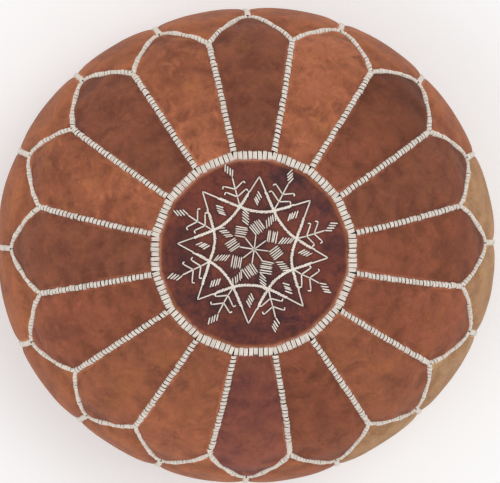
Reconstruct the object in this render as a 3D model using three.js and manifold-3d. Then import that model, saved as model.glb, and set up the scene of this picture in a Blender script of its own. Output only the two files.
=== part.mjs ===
// Moroccan leather pouf: sixteen petals round an embroidered medallion, sixteen side panels below
// them, a base in two halves closed by a zip, and the stuffing inside.
// Millimetres, +Z up. The origin is the middle of the base, on the floor, and the zip runs along X.
import * as THREE from "three";
import { mergeVertices } from "three/addons/utils/BufferGeometryUtils.js";
import Module from "manifold-3d";

const { clamp, lerp, mapLinear, smoothstep } = THREE.MathUtils;
const wasm = await Module();
wasm.setup();

// Stuffed shape
const HEIGHT = 300;
const EQUATOR_RADIUS = 260;
const EQUATOR_Z = 125; // height at which the pouf is widest
const OVALITY = 0.02; // at the equator the plan is this share longer in X and shorter in Y
const CROWN_POWER = 2.5; // superellipse power of the top and shoulder
const BELLY_POWER = 3.1; // superellipse power of the lower side
const BELLY_DEPTH = 148; // its half axis down from the equator, which the base cuts short
const BASE_SEAM_Z = 8;

// Leather pattern; a distance called s runs over the leather from the middle of the top
const PANELS = 16;
const MEDALLION_S = 100; // middle of the seam round the medallion
const VALLEY_R = 220; // plan radius where two petals meet a side panel
const TIP_R = 247; // plan radius of a petal's tip
const SCALLOP_POWER = 1.15; // 1 gives a petal a straight-sided point, 2 a round end
const LEATHER = 2;
const SEAM_GAP = 0.6; // between the turned edges of two panels
const PETAL_ROWS = 6; // facets down a petal
const SIDE_ROWS = 9; // facets down a side panel
const STUFFING_DEPTH = 6; // under the outside of the leather
const STUFFING_FLOOR_Z = 16;

// Stitching, which stands on the leather
const STITCH_LIFT = 0.6;
const STITCH_THICKNESS = 1.4;
const RING_STITCH_WIDTH = 7.6;
const PETAL_STITCH_WIDTH = 6.2;
const SIDE_STITCH_WIDTH = 5.6;
const BASE_STITCH_WIDTH = 4.4;
const BASE_STITCH_LIFT = 0.9;

// Embroidery on the medallion
const STAR_POINTS = 8;
const STAR_TIP_R = 75;
const STAR_KNOT_R = 43; // where the star's lines cross
const BRANCH_END_R = 88;
const SPOKE_R = 17;
const SATIN_END_R = 28;
const EMBROIDERY_LIFT = 0.5;
const EMBROIDERY_THICKNESS = 1;
const THREAD_WIDTH = 1.8;

// Base
const BASE_FLAT_RADIUS = 196;
const BASE_RIM_RISE = 7;
const BASE_RIM_CLEARANCE = 1.2; // in from the side panels' lower edge
const TROUGH_DEPTH = 9; // the base is drawn up along the zip
const TROUGH_HALF_WIDTH = 34;
const SLOT_HALF_WIDTH = 7;

// Zip
const TAPE_END_X = 204;
const TAPE_INNER_Y = 1;
const TAPE_OUTER_Y = 16;
const TAPE_THICKNESS = 0.8;
const CHAIN_FROM_X = -176;
const CHAIN_TO_X = 172;
const CHAIN_INNER_Y = 0.6;
const CHAIN_OUTER_Y = 3.1;
const CHAIN_LOW_Z = 8.6;
const CHAIN_HIGH_Z = 11;
const STOP_LENGTH = 3;
const STOP_OUTER_Y = 3.4;
const ZIP_GAP = 0.4; // between zip pieces that would touch
const SLIDER_X = 165; // middle of the slider when the zip is closed
const SLIDER_LENGTH = 13;
const SLIDER_HALF_WIDTH = 5;
const SLIDER_LOW_Z = 6.3;
const BAIL_LOW_Z = 3.2;
const HINGE_Z = 5.25; // axis of the pull's crossbar, which turns inside the bail
const PULL_LENGTH = 28;
const PULL_HALF_WIDTH = 3.6;
const PULL_THICKNESS = 1.2;

const HALF_PITCH = Math.PI / PANELS;
const FIRST_PETAL_ANGLE = Math.PI / 2; // the first petal points along +Y, the others follow clockwise

const leather = (color, roughness = 0.55) => ({ color, roughness, metalness: 0 });
const MEDALLION_LEATHER = leather(0x6a382c);
const CARAMEL = leather(0x9e624b);
const TAN = leather(0x925844);
const CHESTNUT = leather(0x88523f);
const WALNUT = leather(0x804d3c);
const UMBER = leather(0x77463d);
const PETAL_LEATHERS = [
  ...[WALNUT, CARAMEL, CHESTNUT, WALNUT, CHESTNUT, CHESTNUT, TAN, UMBER],
  ...[UMBER, TAN, TAN, CHESTNUT, WALNUT, CARAMEL, WALNUT, CARAMEL],
];
const SIDE_LEATHER = leather(0x93593f);
const BASE_LEATHER = leather(0x87573c, 0.7);
const CREAM_THREAD = { color: 0xe8dccf, roughness: 0.85, metalness: 0 };
const STUFFING_COTTON = { color: 0xece6da, roughness: 1, metalness: 0 };
const TAPE_CLOTH = { color: 0x4a2f22, roughness: 0.9, metalness: 0 };
const BRASS = { color: 0x9a7a3c, roughness: 0.35, metalness: 1 };

const pouf = new THREE.Group();

function addMesh(name, geometry, finish, x = 0, z = 0) {
  const mesh = new THREE.Mesh(geometry, new THREE.MeshStandardMaterial(finish));
  mesh.name = name;
  mesh.position.set(x, 0, z);
  pouf.add(mesh);
}

const numbered = (name, index) => `${name}_${String(index + 1).padStart(2, "0")}`;
const petalAngle = (index) => FIRST_PETAL_ANGLE - index * 2 * HALF_PITCH;

// ---- The cover's shape -------------------------------------------------------------------------

// Profile of the leather: t is 0 in the middle of the top, 1 at the equator and 2 at floor height.
function profilePoint(t) {
  if (t <= 1) {
    const angle = (t * Math.PI) / 2;
    const power = 2 / CROWN_POWER;
    const rise = (HEIGHT - EQUATOR_Z) * Math.max(0, Math.cos(angle)) ** power;
    return { r: EQUATOR_RADIUS * Math.sin(angle) ** power, z: EQUATOR_Z + rise };
  }
  const power = 2 / BELLY_POWER;
  const floorAngle = Math.asin((EQUATOR_Z / BELLY_DEPTH) ** (1 / power));
  const angle = (t - 1) * floorAngle;
  const drop = BELLY_DEPTH * Math.sin(angle) ** power;
  return { r: EQUATOR_RADIUS * Math.cos(angle) ** power, z: EQUATOR_Z - drop };
}

const PROFILE_STEPS = 600;
const profile = [{ s: 0, r: 0, z: HEIGHT }];
for (let i = 1; i <= PROFILE_STEPS; i++) {
  const point = profilePoint((2 * i) / PROFILE_STEPS);
  const before = profile[i - 1];
  profile.push({ ...point, s: before.s + Math.hypot(point.r - before.r, point.z - before.z) });
}

// Point of the profile where a measure that grows along it first reaches a value
function profileWhere(measure, value) {
  const next = Math.max(1, profile.findIndex((point) => measure(point) >= value));
  const [a, b] = [profile[next - 1], profile[next]];
  const share = (value - measure(a)) / (measure(b) - measure(a));
  const length = b.s - a.s;
  return {
    s: lerp(a.s, b.s, share),
    r: lerp(a.r, b.r, share),
    z: lerp(a.z, b.z, share),
    normal: { r: (a.z - b.z) / length, z: (b.r - a.r) / length },
  };
}

const VALLEY_S = profileWhere((point) => point.r, VALLEY_R).s;
const TIP_S = profileWhere((point) => point.r, TIP_R).s;
const BASE_SEAM = profileWhere((point) => -point.z, -BASE_SEAM_Z);
const BASE_RIM_RADIUS = BASE_SEAM.r - BASE_RIM_CLEARANCE;

// Where a petal ends: u is 0 at its tip, and -1 and 1 at the valleys beside it
const scallopS = (u) => lerp(TIP_S, VALLEY_S, Math.abs(u) ** SCALLOP_POWER);

// Radius and height at a distance over the leather, lifted off its outside
function section(s, lift) {
  const { r, z, normal } = profileWhere((point) => point.s, s);
  return new THREE.Vector2(Math.max(0, r + lift * normal.r), z + lift * normal.z);
}

function skin(angle, s, lift) {
  const { x: radius, y: height } = section(s, lift);
  return new THREE.Vector3(radius * Math.cos(angle), radius * Math.sin(angle), height);
}

// The stuffed pouf is a little oval, more so away from the middle.
function slumped(geometry) {
  const at = geometry.getAttribute("position");
  for (let i = 0; i < at.count; i++) {
    const [x, y] = [at.getX(i), at.getY(i)];
    const share = (OVALITY * (x * x + y * y)) / EQUATOR_RADIUS ** 2;
    at.setXY(i, x * (1 + share), y * (1 - share));
  }
  return geometry;
}

// ---- Ways to make a closed body ----------------------------------------------------------------

const steps = (count, pointAt) => Array.from({ length: count + 1 }, (_, i) => pointAt(i / count));
const grid = (rows, columns, pointAt) => steps(rows, (v) => steps(columns, (h) => pointAt(v, h)));

// Body between an outer and an inner grid of points. Seen from outside with the rows running down,
// the columns run to the right.
function slab(outer, inner) {
  const corners = [];
  const triangle = (a, b, c) => {
    const twiceArea = b.clone().sub(a).cross(c.clone().sub(a)).length();
    if (twiceArea > 1e-6) corners.push(a, b, c);
  };
  const quad = (a, b, c, d) => {
    triangle(a, b, c);
    triangle(a, c, d);
  };
  const rows = outer.length - 1;
  const columns = outer[0].length - 1;
  for (let i = 0; i < rows; i++) {
    for (let j = 0; j < columns; j++) {
      quad(outer[i][j], outer[i + 1][j], outer[i + 1][j + 1], outer[i][j + 1]);
      quad(inner[i][j], inner[i][j + 1], inner[i + 1][j + 1], inner[i + 1][j]);
    }
    quad(outer[i][0], inner[i][0], inner[i + 1][0], outer[i + 1][0]);
    quad(outer[i][columns], outer[i + 1][columns], inner[i + 1][columns], inner[i][columns]);
  }
  for (let j = 0; j < columns; j++) {
    quad(outer[0][j], outer[0][j + 1], inner[0][j + 1], inner[0][j]);
    quad(outer[rows][j], inner[rows][j], inner[rows][j + 1], outer[rows][j + 1]);
  }
  return new THREE.BufferGeometry().setFromPoints(corners);
}

// Body turned about Z from a section of radii and heights, listed anticlockwise
function turned(points, segments) {
  return new THREE.LatheGeometry(points, segments).rotateX(Math.PI / 2);
}

function box([x0, x1], [y0, y1], [z0, z1]) {
  const geometry = new THREE.BoxGeometry(x1 - x0, y1 - y0, z1 - z0);
  return geometry.translate((x0 + x1) / 2, (y0 + y1) / 2, (z0 + z1) / 2);
}

function solidOf(geometry) {
  const bare = geometry.clone();
  bare.deleteAttribute("normal");
  bare.deleteAttribute("uv");
  const merged = mergeVertices(bare, 1e-3);
  return new wasm.Manifold(
    new wasm.Mesh({
      numProp: 3,
      vertProperties: new Float32Array(merged.getAttribute("position").array),
      triVerts: new Uint32Array(merged.index.array),
    }),
  );
}

function geometryOf(solid) {
  const { vertProperties, triVerts } = solid.getMesh();
  return new THREE.BufferGeometry()
    .setAttribute("position", new THREE.BufferAttribute(vertProperties, 3))
    .setIndex(new THREE.BufferAttribute(triVerts, 1));
}

const joined = (geometries) => geometryOf(geometries.map(solidOf).reduce((all, next) => all.add(next)));

// ---- Leather -----------------------------------------------------------------------------------

function medallion() {
  const stations = [0, 0.5, 1].map((share) => share * (MEDALLION_S - SEAM_GAP / 2));
  const face = (lift) => stations.map((s) => section(s, lift));
  return slumped(turned([...face(-LEATHER), ...face(0).reverse()], 4 * PANELS));
}

// Panel centred on an angle, between two lines over the leather given as functions of u
function panel(centre, rows, startS, endS) {
  const layer = (lift) =>
    grid(rows, 4, (v, h) => {
      const u = 2 * h - 1;
      const s = lerp(startS(u) + SEAM_GAP / 2, endS(u) - SEAM_GAP / 2, v);
      const reach = HALF_PITCH - SEAM_GAP / 2 / section(s, 0).x;
      return skin(centre + u * reach, s, lift);
    });
  return slumped(slab(layer(0), layer(-LEATHER)));
}

function petal(index) {
  return panel(petalAngle(index), PETAL_ROWS, () => MEDALLION_S, scallopS);
}

// A side panel starts in the valley between two petals and runs down to the base.
function sidePanel(index) {
  const centre = petalAngle(index) - HALF_PITCH;
  return panel(centre, SIDE_ROWS, (u) => scallopS(1 - Math.abs(u)), () => BASE_SEAM.s);
}

// Height of the underside of the base: flat, drawn up along the zip and rising to its rim
function baseHeight(x, y) {
  const rim = Math.max(0, mapLinear(Math.hypot(x, y), BASE_FLAT_RADIUS, BASE_RIM_RADIUS, 0, 1));
  const trough = TROUGH_DEPTH * (1 - smoothstep(Math.abs(y), SLOT_HALF_WIDTH, TROUGH_HALF_WIDTH));
  return lerp(trough, BASE_RIM_RISE, rim * rim);
}

// Half of the base: side is 1 behind the zip and -1 in front of it
function baseHalf(side) {
  const halfChord = Math.sqrt(BASE_RIM_RADIUS ** 2 - SLOT_HALF_WIDTH ** 2);
  const circleY = (radius, x) => Math.sqrt(Math.max(SLOT_HALF_WIDTH ** 2, radius * radius - x * x));
  const lines = steps(24, (h) => {
    const x = -halfChord * Math.cos(h * Math.PI);
    const [flatY, rimY] = [circleY(BASE_FLAT_RADIUS, x), circleY(BASE_RIM_RADIUS, x)];
    const troughYs = steps(4, (share) => lerp(SLOT_HALF_WIDTH, TROUGH_HALF_WIDTH, share));
    const wanted = [...troughYs, flatY, (flatY + rimY) / 2, rimY];
    const last = wanted.length - 1;
    const across = (share) => lerp(SLOT_HALF_WIDTH, rimY, share);
    return wanted.map((y, i) => {
      const kept = clamp(y, across((0.3 * i) / last), across(1 - (0.3 * (last - i)) / last));
      return new THREE.Vector2(x, kept);
    });
  });
  const layer = (lift) =>
    lines.map((line) => line.map(({ x, y }) => new THREE.Vector3(x, side * y, baseHeight(x, y) + lift)));
  const [under, over] = [layer(0), layer(LEATHER)];
  return slumped(side > 0 ? slab(over, under) : slab(under, over));
}

function stuffing() {
  const wall = steps(12, (v) => section(BASE_SEAM.s * (1 - v), -STUFFING_DEPTH));
  const above = wall.filter((point) => point.y > STUFFING_FLOOR_Z + STUFFING_DEPTH);
  const floor = [0, BASE_RIM_RADIUS].map((radius) => new THREE.Vector2(radius, STUFFING_FLOOR_Z));
  return slumped(turned([...floor, ...above], 2 * PANELS));
}

// ---- Stitching and embroidery ------------------------------------------------------------------

// Band of stitching along a path of {angle, s} over the leather
function stitchBand(path, width) {
  const edges = path.map((point, i) => {
    const before = path[Math.max(0, i - 1)];
    const after = path[Math.min(path.length - 1, i + 1)];
    const radius = section(point.s, 0).x;
    const forward = { s: after.s - before.s, turn: (after.angle - before.angle) * radius };
    const length = Math.hypot(forward.s, forward.turn);
    return [-width / 2, width / 2].map((w) => ({
      angle: point.angle + (w * forward.s) / length / radius,
      s: point.s - (w * forward.turn) / length,
    }));
  });
  const layer = (lift) => edges.map((pair) => pair.map(({ angle, s }) => skin(angle, s, lift)));
  return slab(layer(STITCH_LIFT + STITCH_THICKNESS), layer(STITCH_LIFT));
}

// Distances down a seam, at the facets of the panels beside it, cut to a shorter stretch
function seamStations(rows, [seamFrom, seamTo], [from, to]) {
  const facets = steps(rows, (v) => lerp(seamFrom, seamTo, v));
  return [from, ...facets.filter((s) => s > from + 1 && s < to - 1), to];
}

function stitchRing(s, width, low) {
  const high = low + STITCH_THICKNESS;
  const corners = [[-1, low], [1, low], [1, high], [-1, high], [-1, low]];
  return turned(corners.map(([side, lift]) => section(s + (side * width) / 2, lift)), 4 * PANELS);
}

// One thread sews the medallion to the petals and the petals to each other.
function topStitching() {
  const stretch = [MEDALLION_S + RING_STITCH_WIDTH / 4, VALLEY_S - PETAL_STITCH_WIDTH];
  const stations = seamStations(PETAL_ROWS, [MEDALLION_S, VALLEY_S], stretch);
  const pieces = [stitchRing(MEDALLION_S, RING_STITCH_WIDTH, STITCH_LIFT)];
  for (let i = 0; i < PANELS; i++) {
    const angle = petalAngle(i) - HALF_PITCH;
    pieces.push(stitchBand(stations.map((s) => ({ angle, s })), PETAL_STITCH_WIDTH));
  }
  return slumped(joined(pieces));
}

// Another runs round the petals' ends and down between the side panels.
function sideStitching() {
  const stretch = [TIP_S, BASE_SEAM.s - BASE_STITCH_WIDTH];
  const stations = seamStations(SIDE_ROWS, [TIP_S, BASE_SEAM.s], stretch);
  const pieces = [];
  for (let i = 0; i < PANELS; i++) {
    const angle = petalAngle(i);
    const scallop = steps(8, (v) => {
      const u = 2 * v - 1;
      return { angle: angle + u * HALF_PITCH, s: scallopS(u) };
    });
    pieces.push(stitchBand(scallop, SIDE_STITCH_WIDTH));
    pieces.push(stitchBand(stations.map((s) => ({ angle, s })), SIDE_STITCH_WIDTH));
  }
  return slumped(joined(pieces));
}

// A third joins the side panels to the base.
function baseStitching() {
  return slumped(stitchRing(BASE_SEAM.s, BASE_STITCH_WIDTH, BASE_STITCH_LIFT));
}

// Thread laid on the medallion between two points given as plan radius and angle
function threadBar(from, to, width = THREAD_WIDTH) {
  const ends = [from, to].map(([r, angle]) => new THREE.Vector2(r * Math.cos(angle), r * Math.sin(angle)));
  const along = ends[1].clone().sub(ends[0]).normalize();
  const left = new THREE.Vector2(-along.y, along.x);
  const layer = (lift) =>
    ends.map((end) =>
      [-width / 2, width / 2].map((w) => {
        const { x, y } = end.clone().addScaledVector(left, w);
        return skin(Math.atan2(y, x), Math.hypot(x, y), lift);
      }),
    );
  return slab(layer(EMBROIDERY_LIFT + EMBROIDERY_THICKNESS), layer(EMBROIDERY_LIFT));
}

// The eight-pointed star, with a branch outside each of its knots
function starEmbroidery() {
  const half = Math.PI / STAR_POINTS;
  const pieces = [];
  for (let i = 0; i < STAR_POINTS; i++) {
    const tip = FIRST_PETAL_ANGLE - 2 * i * half;
    const knot = tip - half;
    pieces.push(
      threadBar([STAR_TIP_R, tip], [STAR_KNOT_R, knot]),
      threadBar([STAR_TIP_R, tip], [STAR_KNOT_R, tip + half]),
      threadBar([STAR_KNOT_R, knot], [STAR_KNOT_R, knot - 2 * half]),
      threadBar([STAR_KNOT_R - 1, knot], [BRANCH_END_R, knot]),
    );
  }
  return slumped(joined(pieces));
}

// The rosette inside the star: spokes that end in blocks of satin stitch
function rosetteEmbroidery() {
  const pieces = [];
  for (let i = 0; i < STAR_POINTS; i++) {
    const angle = FIRST_PETAL_ANGLE - (2 * Math.PI * i) / STAR_POINTS;
    pieces.push(
      threadBar([THREAD_WIDTH, angle + Math.PI], [SPOKE_R, angle]),
      threadBar([SPOKE_R - 1, angle], [SATIN_END_R, angle], 4 * THREAD_WIDTH),
    );
  }
  return slumped(joined(pieces));
}

// ---- Zip ---------------------------------------------------------------------------------------

const onSide = (side, inner, outer) => [side * inner, side * outer].sort((a, b) => a - b);

// Each tape lies flat beside the chain, then follows the slope of the base leather inside.
function zipTape(side) {
  const innerZ = CHAIN_HIGH_Z + ZIP_GAP;
  const outerZ = innerZ + baseHeight(0, TAPE_OUTER_Y) - TROUGH_DEPTH;
  const low = [[TAPE_INNER_Y, innerZ], [SLOT_HALF_WIDTH, innerZ], [TAPE_OUTER_Y, outerZ]];
  const high = low.map(([y, z]) => [y, z + TAPE_THICKNESS]).reverse();
  const outline = [...low, ...high].map(([y, z]) => new THREE.Vector2(side * y, z));
  const options = { depth: 2 * TAPE_END_X, bevelEnabled: false };
  const tape = new THREE.ExtrudeGeometry(new THREE.Shape(outline), options);
  const [alongX, alongY, alongZ] = [[1, 0, 0], [0, 1, 0], [0, 0, 1]].map((axis) => new THREE.Vector3(...axis));
  tape.applyMatrix4(new THREE.Matrix4().makeBasis(alongY, alongZ, alongX));
  return tape.translate(-TAPE_END_X, 0, 0);
}

function zipChain(side) {
  const across = onSide(side, CHAIN_INNER_Y, CHAIN_OUTER_Y);
  return box([CHAIN_FROM_X, CHAIN_TO_X], across, [CHAIN_LOW_Z, CHAIN_HIGH_Z]);
}

function zipTopStop(side) {
  const from = CHAIN_TO_X + ZIP_GAP;
  const across = onSide(side, CHAIN_INNER_Y, STOP_OUTER_Y);
  return box([from, from + STOP_LENGTH], across, [CHAIN_LOW_Z, CHAIN_HIGH_Z]);
}

function zipBottomStop() {
  const to = CHAIN_FROM_X - ZIP_GAP;
  return box([to - STOP_LENGTH, to], [-STOP_OUTER_Y, STOP_OUTER_Y], [CHAIN_LOW_Z, CHAIN_HIGH_Z]);
}

// Outer plate, two flanges, post and inner plate, and the bail that holds the pull, about x = 0.
// The post is thin enough to pass between the closed halves of the chain.
function zipSlider() {
  const half = SLIDER_LENGTH / 2;
  const wide = [-SLIDER_HALF_WIDTH, SLIDER_HALF_WIDTH];
  const outerPlateTop = CHAIN_LOW_Z - 0.8;
  const flangeTop = CHAIN_HIGH_Z - 0.1;
  const flangeInnerY = CHAIN_OUTER_Y + 0.5;
  const innerPlateLow = CHAIN_HIGH_Z + 2 * ZIP_GAP + TAPE_THICKNESS;
  const bailWide = [-1.2, 1.2];
  const [legInner, legOuter] = [half - 2.9, half - 1.5];
  const bridgeTop = BAIL_LOW_Z + 1;
  const overlap = 0.3;
  const pieces = [
    box([-half, half], wide, [SLIDER_LOW_Z, outerPlateTop]),
    box([half - 4, half - 1], [-0.3, 0.3], [outerPlateTop - overlap, innerPlateLow + overlap]),
    box([2 - half, half], wide, [innerPlateLow, innerPlateLow + 1.2]),
    box([-legOuter, legOuter], bailWide, [BAIL_LOW_Z, bridgeTop]),
  ];
  for (const side of [-1, 1]) {
    const flange = onSide(side, flangeInnerY, SLIDER_HALF_WIDTH);
    const leg = onSide(side, legInner, legOuter);
    pieces.push(box([-half, half], flange, [outerPlateTop - overlap, flangeTop]));
    pieces.push(box(leg, bailWide, [bridgeTop - overlap, SLIDER_LOW_Z + overlap]));
  }
  return joined(pieces);
}

// The pull lies along -X from its crossbar, with a window that the bail stands in and a hole for a cord.
function zipPull() {
  const half = PULL_THICKNESS / 2;
  const through = [-2 * half, 2 * half];
  const plate = box([-PULL_LENGTH, half], [-PULL_HALF_WIDTH, PULL_HALF_WIDTH], [-half, half]);
  const window = box([-6.2, -half], [-1.8, 1.8], through);
  const hole = box([3 - PULL_LENGTH, 7 - PULL_LENGTH], [-1.6, 1.6], through);
  return geometryOf(solidOf(plate).subtract(solidOf(window)).subtract(solidOf(hole)));
}

// ---- The assembly ------------------------------------------------------------------------------

addMesh("medallion", medallion(), MEDALLION_LEATHER);
for (let i = 0; i < PANELS; i++) {
  addMesh(numbered("petal", i), petal(i), PETAL_LEATHERS[i]);
  addMesh(numbered("side_panel", i), sidePanel(i), SIDE_LEATHER);
}
addMesh("top_seam_stitching", topStitching(), CREAM_THREAD);
addMesh("side_seam_stitching", sideStitching(), CREAM_THREAD);
addMesh("base_seam_stitching", baseStitching(), CREAM_THREAD);
addMesh("star_embroidery", starEmbroidery(), CREAM_THREAD);
addMesh("rosette_embroidery", rosetteEmbroidery(), CREAM_THREAD);
addMesh("stuffing", stuffing(), STUFFING_COTTON);
for (const [place, side] of [["front", -1], ["back", 1]]) {
  addMesh(`base_half_${place}`, baseHalf(side), BASE_LEATHER);
  addMesh(`zip_tape_${place}`, zipTape(side), TAPE_CLOTH);
  addMesh(`zip_chain_${place}`, zipChain(side), BRASS);
  addMesh(`zip_top_stop_${place}`, zipTopStop(side), BRASS);
}
addMesh("zip_bottom_stop", zipBottomStop(), BRASS);
addMesh("zip_slider", zipSlider(), BRASS, SLIDER_X);
addMesh("zip_pull", zipPull(), BRASS, SLIDER_X, HINGE_Z);

export default pouf;
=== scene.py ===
# Moroccan leather pouf: sixteen stuffed petals round an embroidered medallion, side panels, a zipped base.
# Metres, +Z up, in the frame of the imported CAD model. Lengths called s run over the leather from the top.
import math

import bmesh
import bpy
import numpy as np
from mathutils import Matrix, Vector
from mathutils.bvhtree import BVHTree
from mathutils.kdtree import KDTree


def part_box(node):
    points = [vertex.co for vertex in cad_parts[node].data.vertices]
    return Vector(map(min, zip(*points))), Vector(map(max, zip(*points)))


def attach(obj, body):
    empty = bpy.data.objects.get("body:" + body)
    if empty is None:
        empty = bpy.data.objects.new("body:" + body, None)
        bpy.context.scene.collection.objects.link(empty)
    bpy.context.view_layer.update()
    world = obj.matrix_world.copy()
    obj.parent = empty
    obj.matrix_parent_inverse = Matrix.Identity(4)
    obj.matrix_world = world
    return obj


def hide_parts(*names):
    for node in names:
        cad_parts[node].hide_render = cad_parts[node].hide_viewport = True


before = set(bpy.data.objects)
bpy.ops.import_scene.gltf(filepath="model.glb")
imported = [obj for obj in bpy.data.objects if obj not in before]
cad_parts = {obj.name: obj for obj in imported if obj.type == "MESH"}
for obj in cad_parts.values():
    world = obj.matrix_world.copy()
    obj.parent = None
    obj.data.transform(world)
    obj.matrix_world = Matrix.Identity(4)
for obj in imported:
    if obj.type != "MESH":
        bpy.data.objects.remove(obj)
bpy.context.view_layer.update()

# ---- Driving dimensions, the same as in the CAD model ----

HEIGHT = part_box("medallion")[1][2]
EQUATOR_RADIUS = 0.260
EQUATOR_Z = 0.125
OVALITY = 0.02
CROWN_POWER = 2.5
BELLY_POWER = 3.1
BELLY_DEPTH = 0.148
BASE_SEAM_Z = 0.008
PANELS = 16
MEDALLION_S = 0.100
VALLEY_R = 0.220
TIP_R = 0.247
SCALLOP_ROUND = 0.10  # how much of half a petal's width its rounded tip takes
LEATHER = 0.0019
BASE_FLAT_RADIUS = 0.196
BASE_RIM_RISE = 0.007
BASE_RIM_CLEARANCE = 0.0012
TROUGH_DEPTH = 0.009
TROUGH_HALF_WIDTH = 0.034
SLOT_HALF_WIDTH = 0.007

HALF_PITCH = math.pi / PANELS
FIRST_ANGLE = math.pi / 2

# A pouf sewn by hand: the medallion sits a little forward, the plan isn't quite round, and the seams
# wander sideways. Each wave has its count round the pouf, its size and the angle of its crest.
MEDALLION_SHIFT = -0.0037
RING_PULL = 0.0013  # how far the ring seam runs in between the petals' seams, which pull it out
RING_PULL_REACH = 0.022
BELLY_LIFT = 0.0025  # how far the stuffed sides stand out of the CAD model's outline
BELLY_WAVES = ((2, 0.90, 8),)
PLAN_WAVES = ((2, 0.0045, 81), (3, 0.0030, 57), (4, 0.0033, -28), (5, 0.0027, -8))
TURN_WAVES = ((2, math.radians(0.95), 33), (3, math.radians(0.80), -21.5))

# Resolution of the leather before subdivision
HALF_COLUMNS = 12  # across half a panel
PETAL_ROWS = 32
SIDE_ROWS = 46
MEDALLION_ROWS = 60
MEDALLION_COLUMNS = 240

SEAM_SINK = 0.0012  # how far the seams are drawn in under the envelope
SEAM_REACH = 0.006  # how quickly that fades beside a seam
SIDE_SLACK = 0.35  # the sides swell this share less than the top
EDGE_SINK = 0.0024  # how far a turned edge goes down into the seam
TURN_SINK = 0.3  # the share of it where the turn begins
EDGE_GAP = 0.0003

rng = np.random.default_rng(16)


# ---- Numeric helpers ----

def smooth(x, low, high):
    t = np.clip((np.asarray(x, float) - low) / (high - low), 0, 1)
    return t * t * (3 - 2 * t)


def lattice(cell, seed):
    """Repeatable value from -1 to 1 for whole-number lattice points."""
    h = cell[..., 0] * 73856093 ^ cell[..., 1] * 19349663 ^ cell[..., 2] * 83492791 ^ seed * 2654435761
    h = (h ^ (h >> 13)) * 1274126177 & 0xFFFFFFFF
    h = (h ^ (h >> 15)) * 2246822519 & 0xFFFFFFFF
    return (h ^ (h >> 16)) / 0x7FFFFFFF - 1


def noise(points, size, seed=0):
    p = np.asarray(points, float) / size
    base = np.floor(p).astype(np.int64)
    f = p - base
    f = f * f * (3 - 2 * f)
    total = np.zeros(p.shape[:-1])
    for corner in np.ndindex(2, 2, 2):
        weight = np.prod(np.where(corner, f, 1 - f), axis=-1)
        total += weight * lattice(base + np.array(corner), seed)
    return total


def fbm(points, size, octaves=3, seed=0):
    return sum(noise(points, size / 2**k, seed + k) / 2**k for k in range(octaves))


def line_noise(x, size, seed):
    points = np.stack([np.asarray(x, float), np.zeros_like(x), np.zeros_like(x)], -1)
    return noise(points, size, seed)


def unit(v):
    return v / np.maximum(np.linalg.norm(v, axis=-1, keepdims=True), 1e-12)


# ---- The cover's envelope ----

def envelope():
    """Distance over the leather, radius and height from the middle of the top to floor height."""
    t = np.linspace(0, 1, 1201)
    crown, belly = 2 / CROWN_POWER, 2 / BELLY_POWER
    a = t * math.pi / 2
    floor_angle = math.asin((EQUATOR_Z / BELLY_DEPTH) ** (1 / belly))
    b = t[1:] * floor_angle
    rise = (HEIGHT - EQUATOR_Z) * np.maximum(np.cos(a), 0) ** crown
    r = np.concatenate([EQUATOR_RADIUS * np.sin(a) ** crown, EQUATOR_RADIUS * np.cos(b) ** belly])
    z = np.concatenate([EQUATOR_Z + rise, EQUATOR_Z - BELLY_DEPTH * np.sin(b) ** belly])
    s = np.concatenate([[0], np.cumsum(np.hypot(np.diff(r), np.diff(z)))])
    return s, r, z, t.size


PROFILE_S, PROFILE_R, PROFILE_Z, TOP_COUNT = envelope()
NORMAL_R = -np.gradient(PROFILE_Z, PROFILE_S)
NORMAL_Z = np.gradient(PROFILE_R, PROFILE_S)
VALLEY_S, TIP_S = np.interp((VALLEY_R, TIP_R), PROFILE_R[:TOP_COUNT], PROFILE_S[:TOP_COUNT])
BASE_SEAM_S = np.interp(-BASE_SEAM_Z, -PROFILE_Z, PROFILE_S)
BELLY_FROM_S, BELLY_TO_S = TIP_S - 0.012, TIP_S + 0.045  # where the sides' lift begins and is full
HELD_S = TIP_S + 0.05  # below this, the base seam more and more holds the sides to a round plan
BASE_RIM_RADIUS = np.interp(BASE_SEAM_S, PROFILE_S, PROFILE_R) - BASE_RIM_CLEARANCE


def slumped(p):
    """Points moved out a little along X and in along Y: the plan is slightly oval."""
    share = OVALITY * (p[..., 0] ** 2 + p[..., 1] ** 2) / EQUATOR_RADIUS**2
    return np.stack([p[..., 0] * (1 + share), p[..., 1] * (1 - share), p[..., 2]], -1)


def waves(angle, terms):
    return sum(size * np.cos(count * (angle - math.radians(crest))) for count, size, crest in terms)


def skin(angle, s):
    """Point of the cover at an angle and at a distance over the leather from the top."""
    angle, s = np.broadcast_arrays(np.asarray(angle, float), np.asarray(s, float))
    out = smooth(s, MEDALLION_S, TIP_S)
    held = 1 - smooth(s, HELD_S, BASE_SEAM_S)
    loose = out * held
    between_seams = (angle - FIRST_ANGLE) / HALF_PITCH
    between_seams = between_seams - 2 * np.round(between_seams / 2)
    s = s - RING_PULL * (1 - between_seams**2) * np.exp(-((s - MEDALLION_S) / RING_PULL_REACH) ** 2)
    belly = BELLY_LIFT * (1 + waves(angle, BELLY_WAVES))
    lift = belly * smooth(s, BELLY_FROM_S, BELLY_TO_S) * held
    r = np.interp(s, PROFILE_S, PROFILE_R) + lift * np.interp(s, PROFILE_S, NORMAL_R)
    z = np.interp(s, PROFILE_S, PROFILE_Z) + lift * np.interp(s, PROFILE_S, NORMAL_Z)
    r = r * (1 + loose * waves(angle, PLAN_WAVES))
    turned = angle + loose * waves(angle, TURN_WAVES)
    p = slumped(np.stack([r * np.cos(turned), r * np.sin(turned), z], -1))
    p[..., 1] += MEDALLION_SHIFT * (1 - out)
    return p


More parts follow.
